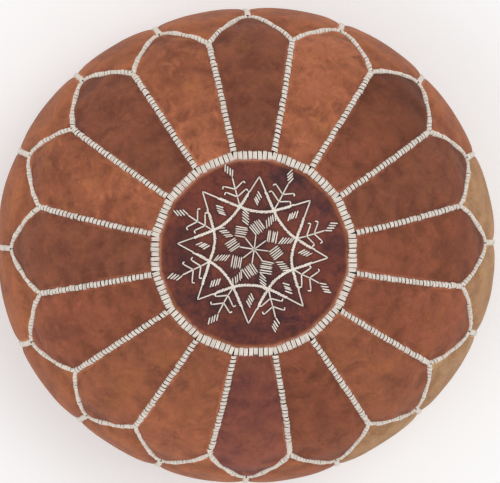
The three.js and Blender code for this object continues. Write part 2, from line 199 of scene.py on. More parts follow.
def skin_normal(angle, s):
    """Unit direction out of the leather."""
    step = 1e-4
    s = np.maximum(s, 10 * step)
    down = unit(skin(angle, s + step) - skin(angle, s - step))
    around = unit(skin(angle + step, s) - skin(angle - step, s))
    return unit(np.cross(down, around))


def radius_at(s):
    return np.interp(s, PROFILE_S, PROFILE_R)


def scallop_s(u):
    """Where a petal ends: u is 0 at its tip, and -1 and 1 at the valleys beside it."""
    rounded = np.sqrt(u**2 + SCALLOP_ROUND**2) - SCALLOP_ROUND
    return TIP_S + (VALLEY_S - TIP_S) * rounded / (math.sqrt(1 + SCALLOP_ROUND**2) - SCALLOP_ROUND)


def petal_angle(index):
    return FIRST_ANGLE - index * 2 * HALF_PITCH


# ---- Meshes ----

def add_object(name, data):
    made = bpy.data.objects.new(name, data)
    bpy.context.scene.collection.objects.link(made)
    return made


def make_object(name, vertices, faces, material=None):
    """A smooth-shaded mesh object from arrays of points and of same-sized faces."""
    mesh = bpy.data.meshes.new(name)
    vertices, faces = np.asarray(vertices, float), np.asarray(faces, int)
    mesh.vertices.add(len(vertices))
    mesh.vertices.foreach_set("co", vertices.ravel())
    corners = faces.shape[1]
    mesh.loops.add(faces.size)
    mesh.loops.foreach_set("vertex_index", faces.ravel())
    mesh.polygons.add(len(faces))
    mesh.polygons.foreach_set("loop_start", np.arange(0, faces.size, corners))
    mesh.polygons.foreach_set("use_smooth", np.full(len(faces), True))
    mesh.update(calc_edges=True)
    mesh.validate()
    if material:
        mesh.materials.append(material)
    return add_object(name, mesh)


def mesh_arrays(piece):
    points = np.empty(len(piece.data.vertices) * 3)
    piece.data.vertices.foreach_get("co", points)
    return points.reshape(-1, 3), [tuple(face.vertices) for face in piece.data.polygons]


def move_points(piece, points):
    piece.data.vertices.foreach_set("co", points.ravel())
    piece.data.update()


def set_attributes(piece, **fields):
    """Values at a mesh's points, for its material: "hide" and "laid" are vectors, the others numbers."""
    for name, values in fields.items():
        vector = name in ("hide", "laid")
        layer = piece.data.attributes.new(name, "FLOAT_VECTOR" if vector else "FLOAT", "POINT")
        layer.data.foreach_set("vector" if vector else "value", np.asarray(values, float).ravel())


def grid_faces(rows, columns, wrap=False):
    """Four-sided faces of a grid of points, its last column joined to the first if it wraps."""
    index = np.arange(rows * columns).reshape(rows, columns)
    right = np.roll(index, -1, 1)
    cells = np.stack([index[:-1], index[1:], right[1:], right[:-1]], -1)
    return (cells if wrap else cells[:, :-1]).reshape(-1, 4)


def grid_normals(grid):
    down = np.gradient(grid, axis=0)
    across = np.gradient(grid, axis=1)
    return unit(np.cross(down, across))


def add_modifier(piece, kind, **settings):
    made = piece.modifiers.new(kind.lower(), kind)
    for name, value in settings.items():
        setattr(made, name, value)


def apply_modifiers(piece):
    graph = bpy.context.evaluated_depsgraph_get()
    mesh = bpy.data.meshes.new_from_object(piece.evaluated_get(graph), depsgraph=graph)
    piece.modifiers.clear()
    piece.data = mesh


# ---- Stuffing the cover: a cloth simulation of the top and sides ----

COLUMNS = 2 * HALF_COLUMNS * PANELS
CLOTH_FRAMES = 20
CLOTH = {
    "quality": 5,
    "tension_stiffness": 15,
    "compression_stiffness": 15,
    "shear_stiffness": 5,
    "bending_stiffness": 0.4,
    "vertex_group_mass": "sewn",
    "vertex_group_shrink": "loose",
    "shrink_min": -0.020,
    "shrink_max": -0.040,
    "use_pressure": True,
    "uniform_pressure_force": 7,
}
LOOSE_LEVELS = 20  # steps of the cloth's vertex group of looser leather
MOST_MOVE = 0.010  # how far the cloth may carry a point


def cover_grid():
    """Angle, distance over the leather and distance to the nearest seam for every grid point."""
    j = np.arange(COLUMNS)
    angle = FIRST_ANGLE - 2 * math.pi * j / COLUMNS
    # Across a panel, u is 0 down a petal's middle, and -1 and 1 at the seams beside it
    u = ((j + HALF_COLUMNS) % (2 * HALF_COLUMNS) - HALF_COLUMNS) / HALF_COLUMNS
    end = scallop_s(u)
    top = [MEDALLION_S + (end - MEDALLION_S) * i / PETAL_ROWS for i in range(PETAL_ROWS + 1)]
    side = [end + (BASE_SEAM_S - end) * i / SIDE_ROWS for i in range(1, SIDE_ROWS + 1)]
    s = np.array(top + side)
    angle = np.broadcast_to(angle, s.shape)
    u = np.broadcast_to(u, s.shape)
    half_width = HALF_PITCH * radius_at(s)
    slant = math.cos(math.atan2(TIP_S - VALLEY_S, HALF_PITCH * VALLEY_R))
    to_scallop = np.abs(s - scallop_s(u)) * slant
    on_petal = np.arange(len(s))[:, None] <= PETAL_ROWS
    to_side = np.where(on_petal, 1 - np.abs(u), np.abs(u)) * half_width
    to_end = np.where(on_petal, s - MEDALLION_S, BASE_SEAM_S - s)
    return angle, s, np.minimum(np.minimum(to_side, to_scallop), to_end)


def pucker(angle, s, seam):
    """Small gathers that run away from the seams, and broad unevenness of the stuffing."""
    place = skin(angle, s)
    fade = np.exp(-seam / 0.013) * smooth(seam, 0, 0.004)
    along_side = line_noise(s, 0.0085, 5) + 0.6 * noise(place, 0.016, 9)
    along_ring = line_noise(angle * radius_at(s), 0.009, 6)
    upright = smooth(s, VALLEY_S, BASE_SEAM_S)
    near_ends = np.exp(-np.minimum(np.abs(s - MEDALLION_S), np.abs(BASE_SEAM_S - s)) / 0.03)
    gathers = along_side * (1 - near_ends) + along_ring * near_ends
    dents = fbm(place, 0.055, 3, 21) * (0.0007 + 0.0010 * upright)
    hems = np.exp(-np.abs(BASE_SEAM_S - s) / 0.035) * along_ring * 0.0011
    return gathers * fade * 0.0009 + (dents + hems) * smooth(seam, 0, 0.012)


def simulate_cover(start, rest_seam):
    """Blows the stuffed leather out between its sewn seams, and returns the moved grid."""
    rows, columns = rest_seam.shape
    piece = make_object("cover_sim", start.reshape(-1, 3), grid_faces(rows, columns, wrap=True)[:, ::-1])
    pinned = piece.vertex_groups.new(name="sewn")
    pinned.add(np.flatnonzero(rest_seam.ravel() < 1e-5).tolist(), 1.0, "REPLACE")
    loose = piece.vertex_groups.new(name="loose")
    place = start.reshape(-1, 3)
    near = np.exp(-rest_seam.ravel() / 0.016)
    share = np.clip(near * (0.75 + 0.5 * noise(place, 0.02, 40)) + 0.12 * fbm(place, 0.06, 2, 44), 0, 1)
    for level in range(1, LOOSE_LEVELS + 1):
        chosen = np.flatnonzero(np.round(share * LOOSE_LEVELS) == level).tolist()
        if chosen:
            loose.add(chosen, level / LOOSE_LEVELS, "REPLACE")
    cloth = piece.modifiers.new("Cloth", "CLOTH")
    for name, value in CLOTH.items():
        setattr(cloth.settings, name, value)
    cloth.settings.effector_weights.gravity = 0
    cloth.point_cache.frame_start = 1
    cloth.point_cache.frame_end = CLOTH_FRAMES
    for step in range(1, CLOTH_FRAMES + 1):
        bpy.context.scene.frame_set(step)
    apply_modifiers(piece)
    moved, _ = mesh_arrays(piece)
    bpy.data.objects.remove(piece)
    bpy.context.scene.frame_set(1)
    move = moved.reshape(rows, columns, 3) - start
    length = np.linalg.norm(move, axis=-1, keepdims=True)
    return start + move * np.minimum(1, MOST_MOVE / np.maximum(length, 1e-9))


def stuffed_cover():
    """The cover's grid when stuffed, its distances to a seam, and how far it lies in or out of a crease."""
    angle, s, seam = cover_grid()
    bare, out = skin(angle, s), skin_normal(angle, s)
    side_share = smooth(s, VALLEY_S, TIP_S + 0.02)
    sunk = -SEAM_SINK * (1 - 0.5 * side_share) * np.exp(-seam / SEAM_REACH)
    start = bare + out * (sunk + pucker(angle, s, seam))[..., None]
    blown = simulate_cover(start, seam)
    cover = start + (blown - start) * (1 - SIDE_SLACK * side_share)[..., None]
    lift = ((cover - bare) * out).sum(-1)
    crease = np.clip((lift - blurred(lift, 3)) / 0.0006, -1, 1) * smooth(seam, 0.002, 0.008)
    return cover, seam, crease


def blurred(field, reach):
    """A grid's values averaged with their neighbours, round the pouf and down it."""
    kernel = np.exp(-0.5 * (np.arange(-3 * reach, 3 * reach + 1) / reach) ** 2)
    kernel /= kernel.sum()
    padded = np.pad(field, ((3 * reach, 3 * reach), (0, 0)), "edge")
    down = sum(w * padded[k:k + len(field)] for k, w in enumerate(kernel))
    return sum(w * np.roll(down, k - 3 * reach, 1) for k, w in enumerate(kernel))


# ---- Materials ----

def linear(code):
    """Linear colour from a hexadecimal sRGB code."""
    parts = [(code >> shift & 255) / 255 for shift in (16, 8, 0)]
    return [c / 12.92 if c <= 0.04045 else ((c + 0.055) / 1.055) ** 2.4 for c in parts]


class Nodes:
    """Short names for building one material's node tree."""

    def __init__(self, name):
        self.material = bpy.data.materials.new(name)
        self.material.use_nodes = True
        self.tree = self.material.node_tree
        self.shader = self.tree.nodes["Principled BSDF"]

    def put(self, socket, value):
        if isinstance(value, bpy.types.NodeSocket):
            self.tree.links.new(value, socket)
        elif hasattr(value, "__len__") and len(value) == 3 and socket.type == "RGBA":
            socket.default_value = (*value, 1)
        else:
            socket.default_value = value

    def add(self, kind, output=0, settings=None, **inputs):
        """A node with some inputs set by name, and one of its outputs."""
        node = self.tree.nodes.new(kind)
        for key, value in (settings or {}).items():
            setattr(node, key, value)
        for key, value in inputs.items():
            if value is not None:
                self.put(node.inputs[key.replace("_", " ")], value)
        return node.outputs[output]

    def row(self, kind, *values, **settings):
        """A node with its first inputs set in order, and its outputs."""
        node = self.tree.nodes.new(kind)
        for key, value in settings.items():
            setattr(node, key, value)
        for socket, value in zip(node.inputs, values):
            if value is not None:
                self.put(socket, value)
        return node.outputs

    def attribute(self, name, output="Fac"):
        return self.add("ShaderNodeAttribute", output, {"attribute_name": name})

    def place(self):
        return self.add("ShaderNodeTexCoord", "Object")

    def noise(self, vector, scale, detail=4, roughness=0.55, distortion=0.0):
        return self.add("ShaderNodeTexNoise", "Fac", Vector=vector, Scale=scale, Detail=detail,
                        Roughness=roughness, Distortion=distortion)

    def voronoi(self, vector, scale, feature="F1"):
        return self.add("ShaderNodeTexVoronoi", "Distance", {"feature": feature}, Vector=vector, Scale=scale)

    def math(self, operation, a, b=0.0):
        return self.row("ShaderNodeMath", a, b, operation=operation)[0]

    def product(self, a, b):
        return self.math("MULTIPLY", a, b)

    def vector_math(self, operation, a, b):
        return self.row("ShaderNodeVectorMath", a, b, operation=operation)[0]

    def scaled(self, vector, factors):
        return self.vector_math("MULTIPLY", vector, factors)

    def axes(self, vector):
        return self.row("ShaderNodeSeparateXYZ", vector)

    def remap(self, value, low, high, to_low=0.0, to_high=1.0):
        return self.row("ShaderNodeMapRange", value, low, high, to_low, to_high)[0]

    def mix(self, factor, a, b, blend="MIX"):
        unused = [None] * 5
        return self.row("ShaderNodeMix", factor, *unused, a, b, data_type="RGBA", blend_type=blend)[2]

    def over(self, color, tint, value, low, high, most=1.0, least=0.0):
        """The colour with a tint mixed in: least of it where the value is low, most where it is high."""
        return self.mix(self.remap(value, low, high, least, most), color, tint)

    def bump(self, height, strength, distance, normal=None):
        return self.add("ShaderNodeBump", Height=height, Strength=strength, Distance=distance, Normal=normal)

    def finish(self, **inputs):
        for key, value in inputs.items():
            self.put(self.shader.inputs[key.replace("_", " ")], value)
        return self.material


def shade(color, factor, warm=0.0):
    """A colour made lighter or darker, and redder by a share."""
    return [min(1, color[0] * factor * (1 + warm)), color[1] * factor, color[2] * factor * (1 - warm)]


# Painted highlight: the pale line on the medallion's raised edge by the ring seam
PALE_RIM_HIGHLIGHT = 0xbd8470


def leather_material(name, light, dark, mottle=1.0, roughness=0.6, rim=None):
    """Vegetable-tanned goat leather: cloudy dye, veins, pores, painted shade in creases, ridges lighter with
    rubbed wear and a painted highlight, painted highlights on rims and turned edges, and seams darkened by
    painted shadow and some dirt.
    """
    n = Nodes(name)
    light, dark = linear(light), linear(dark)
    hide = n.attribute("hide", "Vector")
    seam = n.attribute("seam")
    crease = n.attribute("crease")
    clouds = n.noise(hide, 16, 4, 0.62, 0.5)
    blotches = n.noise(hide, 55, 5, 0.66, 0.9)
    ochre = n.noise(n.scaled(hide, (1.0, 1.0, 1.6)), 31, 3, 0.6, 0.3)
    flecks = n.noise(hide, 190, 4, 0.7)
    fine = n.noise(hide, 520, 4, 0.7)
    yellowed = [light[0] * 1.16, light[1] * 1.24, light[2] * 0.92]
    color = n.over(dark, light, clouds, 0.40, 0.61)
    color = n.over(color, shade(light, 1.26, 0.06), blotches, 0.52, 0.70, 0.65 * mottle)
    color = n.over(color, shade(dark, 0.74, 0.02), blotches, 0.48, 0.32, 0.65 * mottle)
    color = n.over(color, yellowed, ochre, 0.53, 0.66, 0.40 * mottle)
    color = n.over(color, shade(dark, 0.66), flecks, 0.46, 0.30, 0.55)
    color = n.over(color, shade(light, 1.22), flecks, 0.54, 0.70, 0.40)
    color = n.over(color, shade(dark, 0.70), fine, 0.35, 0.65, 0, 0.22)
    if rim:
        # Medallion rim by the ring seam: a lighter band in patches, partly wear and partly a painted
        # highlight on the raised edge, and nearer the seam a pale painted highlight
        patchy_mask = n.product(n.remap(seam, 0.0090, 0.0062), n.remap(blotches, 0.36, 0.50, 0.25, 0.95))
        color = n.mix(patchy_mask, color, linear(rim))
        pale_rim_highlight = n.product(n.remap(seam, 0.0066, 0.0054), n.remap(clouds, 0.47, 0.55))
        color = n.mix(n.product(pale_rim_highlight, 0.75), color, linear(PALE_RIM_HIGHLIGHT))
    warp = n.add("ShaderNodeTexNoise", "Color", Vector=hide, Scale=45, Detail=3)
    bent = n.vector_math("ADD", hide, n.scaled(warp, (0.012, 0.012, 0.012)))
    veins = n.voronoi(bent, 34, feature="DISTANCE_TO_EDGE")
    vein_line = n.product(n.remap(veins, 0.05, 0.0), n.remap(blotches, 0.40, 0.62))
    color = n.mix(n.product(vein_line, 0.28), color, shade(dark, 0.6))
    # Painted shade in the creases; the ridges lighter, partly rubbed wear and partly a painted highlight
    color = n.over(color, shade(dark, 0.66, 0.03), crease, -0.15, -1.0, 0.30)
    color = n.over(color, shade(light, 1.35, 0.04), crease, 0.15, 1.0, 0.22)
    # Painted highlight: a light line along the turned edges just outside the stitches, in stretches
    turned = n.product(n.remap(seam, 0.0030, 0.0036), n.remap(seam, 0.0056, 0.0042))
    turned = n.product(turned, n.remap(clouds, 0.50, 0.60, 0, 0.55))
    color = n.mix(turned, color, shade(light, 1.75, 0.02))
    # Each petal lighter or darker towards its outer end: its own tone, and painted light lifting the shade
    # there
    fade = n.remap(n.attribute("fade"), -2, 2, 0.54, 1.46)
    color = n.mix(1.0, color, fade, "MULTIPLY")
    # Painted shadow, with some dirt, in the seam grooves close to every seam
    color = n.over(color, shade(dark, 0.42), seam, 0.0030, 0.0012, 0.80)
    # Painted shadow round the embroidery threads on the medallion
    color = n.mix(n.product(n.attribute("thread_near"), 0.50), color, shade(dark, 0.40))
    pores = n.voronoi(hide, 900)
    color = n.over(color, shade(dark, 0.60), pores, 0.22, 0.05, 0.35)
    wrinkles = n.noise(n.scaled(hide, (1.0, 1.0, 0.45)), 150, 6, 0.6, 1.2)
    normal = n.bump(wrinkles, 0.42, 0.0014)
    normal = n.bump(n.remap(veins, 0.0, 0.07), 0.16, 0.0010, normal)
    normal = n.bump(n.remap(pores, 0.0, 0.55), 0.28, 0.00035, normal)
    polish = n.remap(fine, 0.3, 0.7, roughness - 0.06, roughness + 0.10)
    return n.finish(Base_Color=color, Normal=normal, Roughness=polish, IOR=1.45, Specular_IOR_Level=0.16)


def thread_material(name, code):
    """Two-ply thread. Its "laid" attribute holds the way round it (cosine, sine) and the run along it."""
    n = Nodes(name)
    base = linear(code)
    turns_per_metre = 300
    cosine, sine, run = n.axes(n.attribute("laid", "Vector"))
    twist = n.product(run, turns_per_metre * 2 * math.pi)
    one = n.product(sine, n.math("COSINE", twist))
    other = n.product(cosine, n.math("SINE", twist))
    plies = n.math("ABSOLUTE", n.math("ADD", one, other))
    fuzz = n.noise(n.place(), 900, 3)
    color = n.mix(n.attribute("tint"), shade(base, 0.84, 0.03), shade(base, 1.08))
    # Painted shade in the groove between the two plies
    color = n.over(color, shade(base, 0.55, 0.05), plies, 0.40, 0.0, 0.50)
    color = n.over(color, shade(base, 0.80, 0.03), fuzz, 0.35, 0.7, 0.25)
    normal = n.bump(fuzz, 0.3, 0.0001, n.bump(plies, 0.6, 0.00025))
    return n.finish(Base_Color=color, Normal=normal, Roughness=0.72, Sheen_Weight=0.15, Sheen_Roughness=0.4,
                    Specular_IOR_Level=0.25)


def metal_material(name):
    """Antique brass: darkened and rubbed bright in patches."""
    n = Nodes(name)
    place = n.place()
    age = n.noise(place, 160, 5, 0.65)
    scratches = n.noise(n.scaled(place, (1.0, 6.0, 1.0)), 700, 3)
    color = n.over(linear(0x6b4f28), linear(0xb08a4a), age, 0.35, 0.68)
    polish = n.remap(age, 0.35, 0.68, 0.52, 0.30)
    normal = n.bump(scratches, 0.12, 0.0001)
    return n.finish(Base_Color=color, Metallic=1.0, Roughness=polish, Normal=normal)


def cloth_material(name, code):
    """Plain woven cloth."""
    n = Nodes(name)
    base = linear(code)
    threads_per_metre = 2200
    place = n.place()
    across, along, _ = n.axes(place)
    warp = n.math("SINE", n.product(across, threads_per_metre * math.pi))
    weft = n.math("SINE", n.product(along, threads_per_metre * math.pi))
    weave = n.product(warp, weft)
    patchy_mask = n.noise(place, 70, 4)
    color = n.over(shade(base, 0.75), shade(base, 1.2), weave, -0.6, 0.8)
    color = n.over(color, shade(base, 0.7), patchy_mask, 0.35, 0.7, 0.35)
    normal = n.bump(weave, 0.5, 0.0002)
    return n.finish(Base_Color=color, Normal=normal, Roughness=0.9, Sheen_Weight=0.2)


def wadding_material(name):
    """Matted cotton wadding with stray fibres."""
    n = Nodes(name)
    place = n.place()
    clumps = n.noise(place, 26, 5, 0.6)
    fibres = n.noise(n.scaled(place, (1.0, 2.4, 1.6)), 420, 6, 0.7, 2.0)
    color = n.over(linear(0xd8cfbd), linear(0xf0eadf), clumps, 0.35, 0.68)
    color = n.over(color, linear(0xbfb49e), fibres, 0.4, 0.65, 0.3)
    normal = n.bump(fibres, 0.6, 0.002, n.bump(clumps, 0.5, 0.01))
    return n.finish(Base_Color=color, Normal=normal, Roughness=0.98, Sheen_Weight=0.4)


LEATHERS = {
    "medallion": leather_material("medallion leather", 0x7e4234, 0x4e2e30, 1.1, 0.5, rim=0x96583a),
    "caramel": leather_material("caramel leather", 0xac684a, 0x92543c, 1.6),
    "tan": leather_material("tan leather", 0x9a5c41, 0x88503a, 1.3),
    "chestnut": leather_material("chestnut leather", 0x90533c, 0x7c4633, 1.2),
    "walnut": leather_material("walnut leather", 0x87503b, 0x754232, 1.2),
    "umber": leather_material("umber leather", 0x834b3b, 0x6d3d38, 1.2),
    "side": leather_material("side leather", 0xac6744, 0x96573d),
    "sand": leather_material("sun-faded side leather", 0xb8906b, 0xa97954, 0.8),
    "base": leather_material("base leather", 0x8a5a3f, 0x774a35, 0.8, 0.66),
}
PETAL_TONES = (
    "walnut caramel chestnut walnut chestnut chestnut tan chestnut "
    "umber tan tan chestnut walnut caramel walnut caramel"
).split()
# How much lighter (or darker, below 0) each petal is at its outer end: partly each petal's own tone, partly
# painted light that lifts the shade at the outer ends
PETAL_END_TONES_AND_LIGHT = (0.2, 0.3, -1.5, 0, -0.3, 1, 0.3, 0.2, 1.5, 1, 0.3, 1, 0.4, -0.5, 0.5, -0.5)
# Side panels 4 to 7, towards +X, are of the paler sand leather
PALE_SIDES = (3, 4, 5, 6)
THREAD = thread_material("cream thread", 0xf7eee4)
BRASS = metal_material("antique brass")
TAPE = cloth_material("zip tape", 0x4f3324)


# ---- Leather panels ----

def between(values, rows, columns):
    """Values of a grid at fractional rows and columns."""
    r0 = np.clip(np.floor(rows).astype(int), 0, values.shape[0] - 2)
    c0 = np.clip(np.floor(columns).astype(int), 0, values.shape[1] - 2)
    beyond = (1,) * (values.ndim - 2)
    fr = (rows - r0).reshape(-1, 1, *beyond)
    fc = (columns - c0).reshape(1, -1, *beyond)
    a, b, c, d = (values[np.ix_(r, c)] for r in (r0, r0 + 1) for c in (c0, c0 + 1))
    return (a * (1 - fc) + b * fc) * (1 - fr) + (c * (1 - fc) + d * fc) * fr


def turned_lines(count):
    """Rows or columns of a panel, with a close one at each border for the leather's turn."""
    return np.concatenate([[0, 0.3], np.arange(1, count - 1), [count - 1.3, count - 1]])


def leather_panel(name, node, tone, fade, points, seam, crease):
    """One panel, its borders turned down into the seams; thicken gives it the leather's thickness."""
    rows = turned_lines(points.shape[0])
    columns = turned_lines(points.shape[1])
    normals = between(grid_normals(points), rows, columns)
    grid, seam, crease = (between(v, rows, columns) for v in (points, seam, crease))
    sink = np.zeros(grid.shape[:2])
    drop = EDGE_SINK * np.array([1, TURN_SINK])[:, None]
    for lines in (sink, sink.T):
        lines[:2] = np.maximum(lines[:2], drop)
        lines[-2:] = np.maximum(lines[-2:], drop[::-1])
    for lines in (grid.swapaxes(0, 1), grid):
        lines[0] += unit(lines[2] - lines[0]) * EDGE_GAP
        lines[-1] += unit(lines[-3] - lines[-1]) * EDGE_GAP
    hide = grid + rng.uniform(-3, 3, 3)
    grid = grid - normals * sink[..., None]
    outwards = np.arange(len(grid))[:, None] / len(grid) + np.zeros(grid.shape[1])
    piece = make_object(name, grid.reshape(-1, 3), grid_faces(*grid.shape[:2]), LEATHERS[tone])
    set_attributes(piece, seam=seam, crease=crease, hide=hide, fade=fade * smooth(outwards, 0.1, 0.8))
    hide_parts(node)
    return piece


def thicken(piece):
    """Gives a panel the leather's thickness, inwards, and makes its mesh finer."""
    add_modifier(piece, "SOLIDIFY", thickness=LEATHER, offset=-1)
    add_modifier(piece, "SUBSURF", levels=1, render_levels=1)
    apply_modifiers(piece)
    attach(piece, "cover")


def columns_round(centre):
    """Grid columns of the panel whose middle is a number of half panels clockwise from the first petal."""
    middle = centre * HALF_COLUMNS
    return np.arange(middle + HALF_COLUMNS, middle - HALF_COLUMNS - 1, -1) % COLUMNS


def cover_panels():
    """Each petal, and the side panel below the valley clockwise of it, in turn."""
    made = []
    grids = stuffed_cover()
    top, side = slice(0, PETAL_ROWS + 1), slice(PETAL_ROWS, None)
    for i in range(PANELS):
        side_tone = "sand" if i in PALE_SIDES else "side"
        for name, rows, centre, tone, fade in (
            (f"petal_{i + 1:02d}", top, 2 * i, PETAL_TONES[i], PETAL_END_TONES_AND_LIGHT[i]),
            (f"side_panel_{i + 1:02d}", side, 2 * i + 1, side_tone, 0),
        ):
            chosen = columns_round(centre)
            fields = (grid[rows][:, chosen] for grid in grids)
            made.append(leather_panel(f"{name}_leather", name, tone, fade, *fields))
    return made


def medallion_leather():
    """The medallion, crowned by the stuffing, with its edge turned down into the ring seam."""
    rows = np.arange(MEDALLION_ROWS + 1) / MEDALLION_ROWS * (MEDALLION_S - EDGE_GAP)
    s = np.concatenate([rows[:-1], [rows[-1] - 0.0005, rows[-1]]])
    sink = np.zeros_like(s)
    sink[-2:] = TURN_SINK * EDGE_SINK, EDGE_SINK
    angle = 2 * math.pi * np.arange(MEDALLION_COLUMNS) / MEDALLION_COLUMNS
    s, angle = np.meshgrid(s, angle, indexing="ij")
    place = skin(angle, s)
    seam = MEDALLION_S - s
    lift = 0.0030 * smooth(seam, 0, 0.045) - SEAM_SINK * np.exp(-seam / SEAM_REACH)
    lift += 0.0011 * fbm(place, 0.035, 3, 61) * smooth(seam, 0, 0.012)
    gathers = line_noise(angle * MEDALLION_S, 0.009, 6) * np.exp(-seam / 0.010) * smooth(seam, 0, 0.003)
    lift += 0.0006 * gathers - sink[:, None]
    crease = np.clip(fbm(place, 0.020, 2, 61), -1, 1) * smooth(seam, 0.002, 0.01)
    points = place + skin_normal(angle, s) * lift[..., None]
    faces = grid_faces(*s.shape, wrap=True)
    piece = make_object("medallion_leather", points.reshape(-1, 3), faces, LEATHERS["medallion"])
    set_attributes(piece, seam=seam, crease=crease, hide=place + 1.7)
    welded = bmesh.new()
    welded.from_mesh(piece.data)
    bmesh.ops.remove_doubles(welded, verts=welded.verts, dist=1e-6)
    welded.to_mesh(piece.data)
    welded.free()
    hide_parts("medallion")
    return piece


panels = cover_panels()
medallion = medallion_leather()

# ---- Camera, light and floor ----

def look(place, target, up):
    back = (place - target).normalized()
    right = up.cross(back).normalized()
    return Matrix((right, back.cross(right), back)).transposed().to_4x4()


def make_camera():
    """A long lens, almost straight above: how far it leans and turns is the photographer's."""
    data = bpy.data.cameras.new("camera")
    camera = add_object("camera", data)
    target = Vector((0, 0.0059, 0.20))
    distance = 1.692
    lean_x, lean_y, roll = math.radians(-2.55), math.radians(1.56), math.radians(0.23)
    away = Vector((math.tan(lean_x), math.tan(lean_y), 1)).normalized()
    place = target + away * distance
    up = Vector((math.sin(roll), math.cos(roll), 0))
    camera.matrix_world = Matrix.Translation(place) @ look(place, target, up)
    data.sensor_width = 36
    data.lens = 115.6
    data.clip_end = 50
    bpy.context.scene.camera = camera


def area_light(name, place, size, power):
    data = bpy.data.lights.new(name, "AREA")
    data.shape = "DISK"
    data.size = size
    data.energy = power
    lamp = add_object(name, data)
    place, target = Vector(place), Vector((0, 0, 0.15))
    lamp.matrix_world = Matrix.Translation(place) @ look(place, target, Vector((0, 1, 0.01)))


def make_studio():
    world = bpy.data.worlds.new("studio")
    world.use_nodes = True
    background = world.node_tree.nodes["Background"]
    background.inputs["Color"].default_value = (1, 1, 1, 1)
    background.inputs["Strength"].default_value = 0.70
    bpy.context.scene.world = world
    area_light("key", (0.9, 0.7, 2.9), 1.6, 17)
    area_light("fill", (-1.6, -0.9, 2.4), 1.8, 9)
    n = Nodes("studio floor")
    patches = n.noise(n.place(), 3, 2)
    color = n.mix(patches, (0.93, 0.93, 0.93), (0.95, 0.95, 0.95))
    n.finish(Base_Color=color, Roughness=0.9, Specular_IOR_Level=0.1)
    n.finish(Emission_Color=(1, 1, 1), Emission_Strength=0.14)
    size = 6
    corners = [(-size, -size, 0), (size, -size, 0), (size, size, 0), (-size, size, 0)]
    floor = make_object("floor", corners, [(0, 1, 2, 3)], n.material)
    bpy.context.scene.view_settings.view_transform = "Standard"


make_camera()
make_studio()

for panel in [*panels, medallion]:
    thicken(panel)


# ---- Thread ----

THREAD_SIDES = 6
RING_BARS_A_PETAL = 8
RING_BAR_WIDTH = 0.0090
BAR_WIDTH = 0.0062
SCALLOP_BAR_WIDTH = 0.0061
SCALLOP_PITCH, SIDE_PITCH, BASE_PITCH = 0.0043, 0.0045, 0.0052
BAR_ARCH = 0.0014  # how high a bar stands over its seam
BAR_END_SINK = 0.0009


def surface_of(pieces):
    """One tree of the pieces' faces, for ray casts."""
    points, faces, count = [], [], 0
    for piece in pieces:
        part, part_faces = mesh_arrays(piece)
        points.append(part)
        faces += [tuple(v + count for v in face) for face in part_faces]
        count += len(part)
    return BVHTree.FromPolygons(np.concatenate(points).tolist(), faces)


def height_over(surface, points, out, reach=0.02):
    """Height of the surface above each point, along its way out."""
    heights = np.zeros(len(points))
    for i, (point, way) in enumerate(zip(points + out * reach, out)):
        hit = surface.ray_cast(Vector(point), Vector(-way), 2 * reach)
        heights[i] = reach - hit[3] if hit[0] else 0
    return heights


def laid_on(surface, paths, way, reach, lift):
    """Paths moved along one way out onto the surface and lifted off it, and that way at each point."""
    out = np.broadcast_to(np.array(way, float), paths.shape)
    rise = height_over(surface, paths.reshape(-1, 3), out.reshape(-1, 3), reach).reshape(paths.shape[:-1])
    return paths + out * (rise + lift)[..., None], out


def lengths_along(points):
    """How far each point of a path lies from its start, by the path."""
    steps = np.linalg.norm(np.diff(points, axis=-2), axis=-1)
    return np.concatenate([np.zeros(steps.shape[:-1] + (1,)), np.cumsum(steps, -1)], -1)


def threads(name, paths, out, radius, tints):
    """Round threads along paths of equal point count, their ends drawn in."""
    count, length = paths.shape[:2]
    along = unit(np.gradient(paths, axis=1))
    aside = unit(np.cross(along, out))
    above = np.cross(aside, along)
    turn = 2 * math.pi * np.arange(THREAD_SIDES) / THREAD_SIDES
    taper = np.ones(length)
    taper[[0, -1]] = 0.5
    size = np.broadcast_to(radius, (count,))[:, None] * taper
    spoke = np.cos(turn)[:, None] * aside[:, :, None] + np.sin(turn)[:, None] * above[:, :, None]
    points = paths[:, :, None] + size[..., None, None] * spoke
    index = np.arange(points.size // 3).reshape(count, length, THREAD_SIDES)
    ahead, beside = index[:, 1:], np.roll(index, -1, 2)
    walls = np.stack([index[:, :-1], beside[:, :-1], beside[:, 1:], ahead], -1).reshape(-1, 4)
    first, last = index[:, 0], index[:, -1]
    caps = [first[:, [3, 2, 1, 0]], first[:, [5, 4, 3, 0]], last[:, [0, 1, 2, 3]], last[:, [0, 3, 4, 5]]]
    piece = make_object(name, points.reshape(-1, 3), np.concatenate([walls, *caps]), THREAD)
    shape = (count, length, THREAD_SIDES)
    round_and_along = (np.cos(turn), np.sin(turn), lengths_along(paths)[..., None])
    laid = np.stack([np.broadcast_to(v, shape) for v in round_and_along], -1)
    set_attributes(piece, laid=laid, tint=np.broadcast_to(tints[:, None, None], shape))
    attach(piece, "cover")
    return piece


def along_seam(curve, pitch, start=0.0, end=0.0):
    """Evenly spaced places on a seam: point, direction of the seam and the way out."""
    t = np.linspace(0, 1, 400)
    length = lengths_along(skin(*curve(t)))
    room = length[-1] - start - end
    count = max(1, round(room / pitch))
    where = np.interp(start + (np.arange(count) + 0.5) * room / count, length, t)
    angle, s = curve(where)
    forward = unit(skin(*curve(where + 1e-4)) - skin(*curve(where - 1e-4)))
    return skin(angle, s), forward, skin_normal(angle, s)


